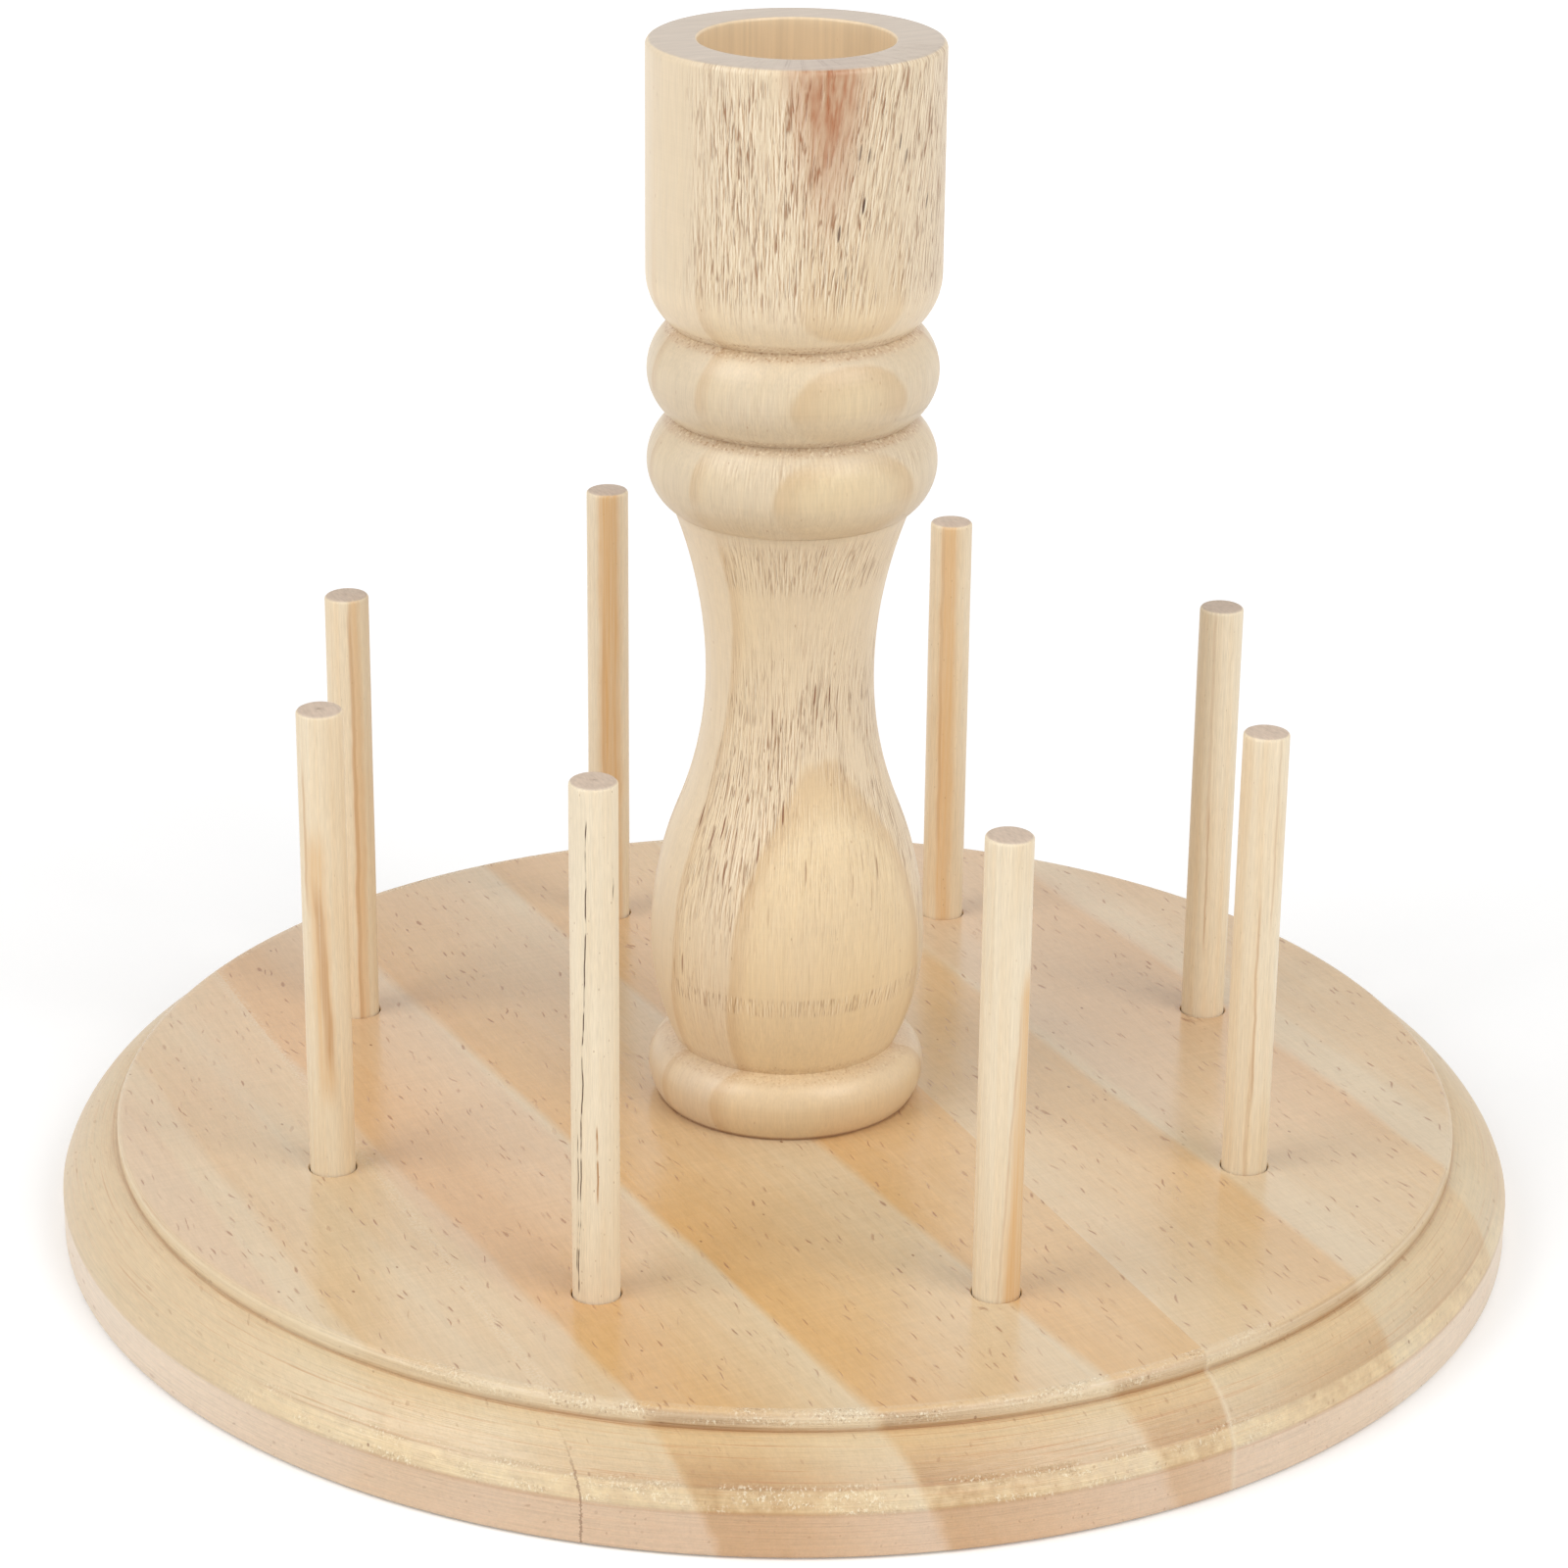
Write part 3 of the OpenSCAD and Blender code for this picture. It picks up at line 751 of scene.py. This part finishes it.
def peg_wood(i, x0, y0):
    seed = 20.0 + 5.0 * i
    n = Nodes("peg_wood_%d" % (i + 1))
    x, y, n.z = n.split(n.position())
    x, y = n.plus(x, -x0), n.plus(y, -y0)
    p = n.join(x, y, n.z)
    end = n.ease(n.size(n.normal()[2]), 0.6, 0.9)
    n.aside = n.along(x, y, RIGHTWARD)
    n.front = n.ease(n.along(x, y, FRONTWARD), 0.0, 1.2)
    n.down = n.minus(SOCKET_FLOOR + PEG_RAISE[i] + PEG_LEN, n.z)

    bands = n.noise(p, (2.4, 1.3, 150), seed, 2.0, 0.6)
    n.streaks = n.noise(p, (0.4, 0.4, 26), seed + 1, 2.0, 0.6)
    fibres = n.noise(p, (0.17, 0.17, 2.6), seed + 2, 1.0)
    specks = n.specks(p, (0.8, 0.8, 1.9), 0.16, 0.55, seed + 3)
    patches = n.noise(p, (5, 5, 20), seed + 4)
    rings = n.noise(n.join(x, n.times(y, 0.3), 0.0), (0.5, 0.5, 1), seed + 4.6)

    tone = n.plus(PEG_TONES[i], (bands, 1.1), (patches, 0.6))
    light = n.plus((n.streaks, 0.22), (fibres, 0.26))
    n.colour = n.shade(n.mix(tone, PEG_PALE, PEG_DARK), light)
    peg_marks(n, i, seed)
    n.paint(PEG_SPECK, specks, 0.55 * PEG_SPECKLES[i])
    n.paint(n.shade(PEG_END, n.times(rings, 0.5)), end, 0.9)
    height = n.plus((fibres, 0.03), (n.streaks, 0.04), (specks, -0.03), (n.scar, -0.08))
    gloss = n.plus(0.5, (patches, 0.15), (end, 0.15), (n.scar, 0.3))
    return n.finish(gloss, height, IOR=1.5)


# Zinc of the screw and its washer

ZINC_DARK = srgb(176, 178, 182)
ZINC_PALE = srgb(214, 212, 206)


def zinc():
    n = Nodes("screw_steel")
    p = n.position()
    x, y, z = n.split(p)
    spin = n.noise(n.join(n.hypot(x, y), 0.0, z), (0.25, 1, 0.25), 60.0, 3.0, 0.7)
    spangle = n.noise(p, (1.2, 1.2, 1.2), 61.0, 3.0, 0.6)
    n.colour = n.mix(n.plus(0.5, spangle), ZINC_DARK, ZINC_PALE)
    n.colour = n.shade(n.colour, n.times(spin, 0.25))
    gloss = n.plus(0.34, (spangle, 0.3), (spin, 0.15))
    return n.finish(gloss, n.times(spin, 0.01), Metallic=1.0)


# Meshes

def placed(name, data, material=None):
    """An object in the scene for a mesh, lamp or camera."""
    if material:
        data.materials.clear()
        data.materials.append(material)
    piece = bpy.data.objects.new(name, data)
    bpy.context.collection.objects.link(piece)
    return piece


def new_object(name, vertices, faces, material=None):
    mesh = bpy.data.meshes.new(name)
    mesh.from_pydata(vertices, [], faces)
    mesh.update()
    return placed(name, mesh, material)


def smooth(piece, sharp_angle):
    piece.data.shade_smooth()
    piece.data.set_sharp_from_angle(angle=math.radians(sharp_angle))


def lathe(rows, count, warp=None, x0=0.0, y0=0.0):
    """Vertices in metres and faces of a turned solid. rows are (radius, height) from end to end, and radius 0
    is on the axis; warp takes arrays of radius, angle and height, and returns radius and height."""
    vertices, rings = [], []
    angles = np.arange(count) * (2 * math.pi / count)
    for radius, height in rows:
        if radius == 0:
            rings.append([len(vertices)])
            vertices.append((x0 * MM, y0 * MM, height * MM))
            continue
        r = np.full(count, radius)
        z = np.full(count, height)
        if warp:
            r, z = warp(r, angles, z)
        rings.append(list(range(len(vertices), len(vertices) + count)))
        at = np.stack([x0 + r * np.cos(angles), y0 + r * np.sin(angles), z], 1) * MM
        vertices.extend(map(tuple, at))
    faces = []
    for low, high in zip(rings, rings[1:]):
        for i in range(count):
            j = (i + 1) % count
            if len(low) == 1:
                faces.append((low[0], high[j], high[i]))
            elif len(high) == 1:
                faces.append((low[i], low[j], high[0]))
            else:
                faces.append((low[i], low[j], high[j], high[i]))
    return vertices, faces


def bulge(r_wide, z_wide, r_end, z_end, steps, hollow=False):
    """Points on the arc from its widest (where hollow, narrowest) place to its end, as radius and height."""
    dr, dz = abs(r_wide - r_end), z_end - z_wide
    radius = (dr * dr + dz * dz) / (2 * dr)
    sign = -1 if hollow else 1
    points = []
    for k in range(steps + 1):
        z = dz * k / steps
        points.append((r_wide - sign * (radius - math.sqrt(radius * radius - z * z)), z_wide + z))
    return points


def arc(r, z, radius, start, end, steps):
    """Points on the arc round (r, z) from the angle start to end, in degrees from the outward direction."""
    angles = [math.radians(start + (end - start) * k / steps) for k in range(steps + 1)]
    return [(r + radius * math.cos(a), z + radius * math.sin(a)) for a in angles]


def bulges(low, wide, high, steps, hollow=False):
    """Points on two arcs, up from low to the widest (where hollow, narrowest) place and on up to high."""
    return bulge(*wide, *low, steps[0], hollow)[::-1] + bulge(*wide, *high, steps[1], hollow)


def joined(*stretches):
    """Stretches of a profile in one list, without repeating the points where they meet."""
    rows = []
    for stretch in stretches:
        for point in stretch:
            if not rows or math.dist(rows[-1], point) > 1e-6:
                rows.append(point)
    return rows


def straight(a, b, steps):
    return [(a[0] + (b[0] - a[0]) * k / steps, a[1] + (b[1] - a[1]) * k / steps) for k in range(steps + 1)]


def cut(piece, tool):
    """The mesh of piece with tool taken out of it; both objects go."""
    modifier = piece.modifiers.new("cut", "BOOLEAN")
    modifier.operation = "DIFFERENCE"
    modifier.solver = "EXACT"
    modifier.object = tool
    mesh = bpy.data.meshes.new_from_object(piece.evaluated_get(bpy.context.evaluated_depsgraph_get()))
    for done in (piece, tool):
        bpy.data.objects.remove(done, do_unlink=True)
    return mesh


def bites(radius, angles, height, slow_size, fine_size, nicks):
    """What wear takes off at each angle: a slow unevenness, and nicks of those depths. The sizes of the
    noise are across and along the axis."""
    taken = []
    for angle, nick in zip(angles, nicks):
        x, y = radius * math.cos(angle), radius * math.sin(angle)
        slow = noise.noise(Vector((x / slow_size[0], y / slow_size[0], height / slow_size[1])))
        fine = noise.noise(Vector((x / fine_size[0], y / fine_size[0], height / fine_size[1])))
        taken.append(0.05 + 0.05 * slow + nick * max(0.0, fine))
    return np.array(taken)


def rim_curve():
    """Points on the rim's curve, from the upright face up to the foot of the step."""
    width, rise = BOARD_R - STEP_R, STEP_Z - RIM_FACE_Z
    chord = math.hypot(width, rise)
    half = math.radians(RIM_SWEEP / 2)
    radius = chord / (2 * math.sin(half))
    inward = radius * math.cos(half) / chord
    r = STEP_R + width / 2 - inward * rise
    z = RIM_FACE_Z + rise / 2 - inward * width
    start = math.degrees(math.atan2(RIM_FACE_Z - z, BOARD_R - r))
    return arc(r, z, radius, start, start + RIM_SWEEP, 24)


def peg_places():
    turns = [2 * math.pi * i / PEG_COUNT for i in range(PEG_COUNT)]
    return [(PEG_CIRCLE_R * math.cos(t), PEG_CIRCLE_R * math.sin(t)) for t in turns]


def board_profile():
    """Radius and height along the board's section, from the middle of its underside to that of its top."""
    foot, brow, brow_z = BOARD_R - BOARD_FOOT_EASE, STEP_R - STEP_EASE, BOARD_T - STEP_EASE
    return joined(
        straight((0, 0), (foot - 2, 0), 5),
        [(foot, 0)],
        arc(foot, BOARD_FOOT_EASE, BOARD_FOOT_EASE, -90, 0, 3),
        straight((BOARD_R, BOARD_FOOT_EASE), (BOARD_R, RIM_FACE_Z - 0.2), 7),
        rim_curve(),
        straight((STEP_R, STEP_Z), (STEP_R, brow_z), 3),
        arc(brow, brow_z, STEP_EASE, 0, 90, 6),
        straight((brow, BOARD_T), (brow - 1, BOARD_T), 2),
        straight((brow - 1, BOARD_T), (0, BOARD_T), 10),
    )


def board_cutter():
    """The eight sockets and the screw's hole, as one object to cut with."""
    over = 1.0
    mouth = SOCKET_R + SOCKET_WORN
    socket = [
        (0, SOCKET_FLOOR), (SOCKET_R, SOCKET_FLOOR), (SOCKET_R, BOARD_T - SOCKET_WORN), (mouth, BOARD_T),
        (mouth, BOARD_T + over), (0, BOARD_T + over),
    ]
    shank, seat = SCREW_R + SCREW_CLEARANCE, WASHER_R + SCREW_CLEARANCE
    roof, flare = WASHER_Z + WASHER_T, seat + SEAT_EASE
    hole = [
        (0, -over), (flare, -over), (flare, 0), (seat, SEAT_EASE), (seat, roof), (shank, roof),
        (shank, BOARD_T + over), (0, BOARD_T + over),
    ]
    vertices, faces = [], []
    for profile, x0, y0 in [(socket, *place) for place in peg_places()] + [(hole, 0, 0)]:
        start = len(vertices)
        more_vertices, more_faces = lathe(profile, 72, None, x0, y0)
        vertices.extend(more_vertices)
        faces.extend(tuple(start + k for k in face) for face in more_faces)
    return new_object("cutter", vertices, faces)


def make_board():
    """The whole board as one mesh, with its sockets and screw hole cut."""
    def wear(r, a, z):
        """The routed rim is never quite true: chatter and torn fibres take a little off it."""
        if r[0] < STEP_R - STEP_EASE - 0.01 or z[0] < 0.5:
            return r, z
        end_grain = np.sin(a) ** 2
        return r - bites(r[0], a, z[0], (30, 20), (1.6, 2.5), end_grain * 0.10), z

    vertices, faces = lathe(board_profile(), 720, wear)
    return cut(new_object("board", vertices, faces), board_cutter())


def make_staves():
    whole = make_board()
    edges = (-BOARD_R - 1, *JOINTS_X, BOARD_R + 1)
    for k, side in enumerate(STAVES):
        cells = bmesh.new()
        cells.from_mesh(whole)
        for limit, outward in ((edges[k], -1), (edges[k + 1], 1)):
            geometry = cells.verts[:] + cells.edges[:] + cells.faces[:]
            plane = {"plane_co": (limit * MM, 0, 0), "plane_no": (outward, 0, 0)}
            bmesh.ops.bisect_plane(cells, geom=geometry, dist=1e-7, clear_outer=True, **plane)
            bmesh.ops.holes_fill(cells, edges=[e for e in cells.edges if e.is_boundary])
        mesh = bpy.data.meshes.new("stave_" + side)
        cells.to_mesh(mesh)
        cells.free()
        stave = placed("stave_" + side, mesh, board_wood(side, 10.0 * (k + 1)))
        smooth(stave, 38)
        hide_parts("base_stave_" + side)
        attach(stave, "rack")
    bpy.data.meshes.remove(whole)


def post_profile():
    """Radius and height along the post's outline, from its pilot hole round to the floor of its bore."""
    seat, crease = (POST_FOOT_R, BOARD_T), (FOOT_CREASE_R, FOOT_CREASE_Z)
    belly_end, neck_top = (BELLY_END_R, BELLY_END_Z), (NECK_TOP_R, BEADS_Z[0] - BEAD_HALF)
    foot = bulges(seat, (FOOT_BEAD_R, FOOT_BEAD_Z), crease, (6, 10))
    belly = bulges(crease, (BELLY_R, BELLY_Z), belly_end, (22, 26))
    neck = bulges(belly_end, (WAIST_R, WAIST_Z), neck_top, (26, 32), True)
    beads = []
    for z in BEADS_Z:
        ends = [(BEAD_CREASE_R, z - BEAD_HALF), (BEAD_CREASE_R, z + BEAD_HALF)]
        beads += bulges(ends[0], (BEAD_R, z), ends[1], (12, 12))
    curve = bulge(CUP_R, CUP_WALL_Z, BEAD_CREASE_R, BEADS_Z[1] + BEAD_HALF, 12)[::-1]
    mouth, lip, lip_z = BORE_R + BORE_EASE, CUP_R - LIP_EASE, POST_TOP - LIP_EASE
    return joined(
        [(0, PILOT_TOP), (PILOT_R, PILOT_TOP), (PILOT_R, BOARD_T)],
        straight((PILOT_R, BOARD_T), seat, 4),
        foot, belly, neck, beads, curve,
        straight((CUP_R, CUP_WALL_Z), (CUP_R, lip_z), 48),
        arc(lip, lip_z, LIP_EASE, 0, 90, 5),
        straight((lip, POST_TOP), (mouth, POST_TOP), 6),
        arc(mouth, POST_TOP - BORE_EASE, BORE_EASE, 90, 180, 4),
        straight((BORE_R, POST_TOP - BORE_EASE), (BORE_R, BORE_FLOOR), 26),
        straight((BORE_R, BORE_FLOOR), (0, BORE_FLOOR), 4),
    )


def make_post():
    def wear(r, a, h):
        """Torn grain and tool marks take a little off the turning."""
        in_bore = abs(r[0] - BORE_R) < 1 and h[0] > BORE_FLOOR - 1
        if r[0] < WAIST_R - 0.05 or h[0] < BOARD_T + 0.5 or in_bore:
            return r, h
        on_wall = 1.0 if h[0] > CUP_WALL_Z + 1 else 0.25
        nicks = np.full(len(a), 0.06 * on_wall)
        return r - bites(r[0], a, h[0], (14, 18), (0.9, 4.5), nicks), h

    vertices, faces = lathe(post_profile(), 320, wear)
    post = new_object("turned_post", vertices, faces, post_wood())
    smooth(post, 40)
    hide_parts("post")
    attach(post, "rack")


def make_pegs():
    for i, (x0, y0) in enumerate(peg_places()):
        foot = SOCKET_FLOOR + PEG_RAISE[i] + PEG_FOOT_GAP
        top = SOCKET_FLOOR + PEG_RAISE[i] + PEG_LEN
        eased = PEG_R - PEG_EASE
        rows = joined(
            straight((0, foot), (eased, foot), 2),
            arc(eased, foot + PEG_EASE, PEG_EASE, -90, 0, 4),
            straight((PEG_R, foot + PEG_EASE), (PEG_R, top - PEG_EASE), 80),
            arc(eased, top - PEG_EASE, PEG_EASE, 0, 90, 5),
            straight((eased, top), (0, top), 3),
        )

        def wear(r, a, h):
            """A peg is a little out of round, and its top is sawn a little askew."""
            spots = [Vector((math.cos(t) * 1.3 + 7 * i, math.sin(t) * 1.3, h[0] / 18)) for t in a]
            bite = np.array([0.04 + 0.04 * noise.noise(spot) for spot in spots])
            askew = 0.06 * (1 + np.cos(a - i)) if h[0] > top - 0.5 else 0.0
            return r - bite, h - askew

        vertices, faces = lathe(rows, 72, wear, x0, y0)
        peg = new_object("spool_peg_%d" % (i + 1), vertices, faces, peg_wood(i, x0, y0))
        smooth(peg, 50)
        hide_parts("peg_%d" % (i + 1))
        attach(peg, "peg_%d" % (i + 1))


def make_screw(steel):
    head = ((0.0, 0.0), (0.55, 0.12), (0.8, 0.4), (0.95, 0.9), (1.0, 1.5))
    shank_end = (SCREW_CORE_R, SCREW_TIP - SCREW_CONE)
    rows = joined(
        [(SCREW_HEAD_R * share, SCREW_HEAD_Z + rise) for share, rise in head],
        [(SCREW_HEAD_R, WASHER_Z)],
        straight((SCREW_CORE_R, WASHER_Z), shank_end, 150),
        straight(shank_end, (0, SCREW_TIP), 16),
    )

    def thread(r, a, h):
        """A sharp ridge winds round the shank and fades out on its point."""
        if h[0] <= WASHER_Z + 1 or r[0] > SCREW_R:
            return r, h
        turn = (h / SCREW_PITCH - a / (2 * math.pi)) % 1.0
        ridge = np.clip(1 - np.abs(turn - 0.5) * 5, 0, 1)
        return r + ridge * min(SCREW_R - SCREW_CORE_R, r[0] * 0.25), h

    vertices, faces = lathe(rows, 40, thread)
    blank = new_object("blank", vertices, faces)
    half, arm = RECESS_W / 2, RECESS_LEN / 2
    quadrant = [(arm, -half), (arm, half), (half, half)]
    outline = []
    for turn in range(4):
        outline += quadrant
        quadrant = [(-y, x) for x, y in quadrant]
    count = len(outline)
    levels = (SCREW_HEAD_Z - 1, SCREW_HEAD_Z + RECESS_DEPTH)
    corners = [(x * MM, y * MM, level * MM) for level in levels for x, y in outline]
    sides = [(k, (k + 1) % count, count + (k + 1) % count, count + k) for k in range(count)]
    ends = [tuple(range(count))[::-1], tuple(range(count, 2 * count))]
    driver = new_object("driver", corners, sides + ends)
    screw = placed("wood_screw", cut(blank, driver), steel)
    smooth(screw, 30)
    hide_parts("post_screw")
    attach(screw, "rack")


def make_washer(steel):
    inner, eased = SCREW_R + SCREW_CLEARANCE, WASHER_R - WASHER_EASE
    low, high = WASHER_Z, WASHER_Z + WASHER_T
    section = [
        (inner, low), (eased, low), (WASHER_R, low + WASHER_EASE),
        (WASHER_R, high - WASHER_EASE), (eased, high), (inner, high),
    ]
    count = 72
    vertices, faces = lathe(section, count)
    last = (len(section) - 1) * count
    for k in range(count):
        j = (k + 1) % count
        faces.append((last + k, last + j, j, k))
    washer = new_object("flat_washer", vertices, faces, steel)
    smooth(washer, 30)
    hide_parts("screw_washer")
    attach(washer, "rack")


# Studio

SKY_LEVEL = 0.50
# The floor glows more and more outwards where it is seen, to stay white as the lamps fall off: how much, and
# over which stretches in millimetres from the middle
FLOOR_GLOW = (0.16, 0.45)
FLOOR_GLOW_REACH = (200, 1000)
FAR_GLOW = (0.0, 0.18)
FAR_GLOW_REACH = (1000, 2400)
FLOOR_GREY = (0.92, 0.92, 0.92, 1)
FLOOR_HALF = 6.0
FLOOR_Z = -0.0003
# Lamps: azimuth from the view, elevation, power in watts and size in metres
LAMPS = {
    "left_softbox": (-62, 42, 26.6, 1.5),
    "right_softbox": (47, 43, 27.5, 1.5),
    "overhead": (0, 86, 1.0, 2.2),
}
LAMP_DISTANCE = 2.6
LAMP_TARGET_Z = 0.08


def seen(tree):
    """1 where a ray comes from the camera, a reflection or a clear surface, and 0 where it brings light."""
    ray = tree.nodes.new("ShaderNodeLightPath")
    total = ray.outputs["Is Camera Ray"]
    for kind in ("Is Glossy Ray", "Is Transmission Ray"):
        node = tree.nodes.new("ShaderNodeMath")
        node.operation = "MAXIMUM"
        tree.links.new(total, node.inputs[0])
        tree.links.new(ray.outputs[kind], node.inputs[1])
        total = node.outputs[0]
    return total


def make_floor():
    n = Nodes("floor_white")
    white = n.add("BsdfDiffuse", Color=FLOOR_GREY)
    reach = n.hypot(*n.split(n.position())[:2])
    level = n.plus(n.ease(reach, *FLOOR_GLOW_REACH, *FLOOR_GLOW), n.ease(reach, *FAR_GLOW_REACH, *FAR_GLOW))
    glow = n.add("Emission", Color=(1, 1, 1, 1), Strength=level)
    both = n.add("AddShader")
    n.put(both.inputs[0], white.outputs[0])
    n.put(both.inputs[1], glow.outputs[0])
    pick = n.add("MixShader", Fac=seen(n.tree))
    n.put(pick.inputs[1], white.outputs[0])
    n.put(pick.inputs[2], both.outputs[0])
    n.add("OutputMaterial", Surface=pick.outputs[0])
    quarters = ((-1, -1), (1, -1), (1, 1), (-1, 1))
    corners = [(x * FLOOR_HALF, y * FLOOR_HALF, FLOOR_Z) for x, y in quarters]
    new_object("floor", corners, [(0, 1, 2, 3)], n.material)


def make_world():
    world = bpy.data.worlds.new("studio")
    world.use_nodes = True
    tree = world.node_tree
    back = tree.nodes["Background"]
    level = tree.nodes.new("ShaderNodeMapRange")
    tree.links.new(seen(tree), level.inputs["Value"])
    level.inputs["To Min"].default_value = SKY_LEVEL
    level.inputs["To Max"].default_value = 1.0
    tree.links.new(level.outputs[0], back.inputs["Strength"])
    back.inputs["Color"].default_value = (1, 1, 1, 1)
    bpy.context.scene.world = world


def aim(obj, place, target, roll=0.0):
    """Puts obj at place, looking along its own -Z at target, turned about that line by roll degrees."""
    toward = (Vector(target) - Vector(place)).normalized()
    right = toward.cross(Vector((0, 0, 1))).normalized()
    up = right.cross(toward)
    a = math.radians(roll)
    turned = right * math.cos(a) + up * math.sin(a)
    upper = turned.cross(toward)
    obj.matrix_world = Matrix((
        (turned.x, upper.x, -toward.x, place[0]),
        (turned.y, upper.y, -toward.y, place[1]),
        (turned.z, upper.z, -toward.z, place[2]),
        (0, 0, 0, 1),
    ))


def around(azimuth, elevation, distance):
    """A place at that distance from the origin, where azimuth 0 is at -Y."""
    a, e = math.radians(azimuth), math.radians(elevation)
    return Vector((math.sin(a) * math.cos(e), -math.cos(a) * math.cos(e), math.sin(e))) * distance


def make_lights():
    target = Vector((0, 0, LAMP_TARGET_Z))
    for name, (azimuth, elevation, power, size) in LAMPS.items():
        lamp = bpy.data.lights.new(name, "AREA")
        lamp.energy = power
        lamp.size = size
        place = target + around(VIEW_AZIMUTH + azimuth, elevation, LAMP_DISTANCE)
        aim(placed(name, lamp), place, target)


def make_camera():
    camera = bpy.data.cameras.new("camera")
    camera.sensor_width = VIEW_SENSOR
    camera.lens = VIEW_LENS
    view = placed("camera", camera)
    target = Vector((VIEW_ASIDE * RIGHTWARD[0], VIEW_ASIDE * RIGHTWARD[1], VIEW_HEIGHT)) * MM
    place = target + around(VIEW_AZIMUTH, VIEW_ELEVATION, VIEW_DISTANCE * MM)
    aim(view, place, target, VIEW_ROLL)
    bpy.context.scene.camera = view


make_camera()
make_staves()
make_post()
make_pegs()
metal = zinc()
make_screw(metal)
make_washer(metal)
make_floor()
make_world()
make_lights()
bpy.context.scene.view_settings.view_transform = "Standard"
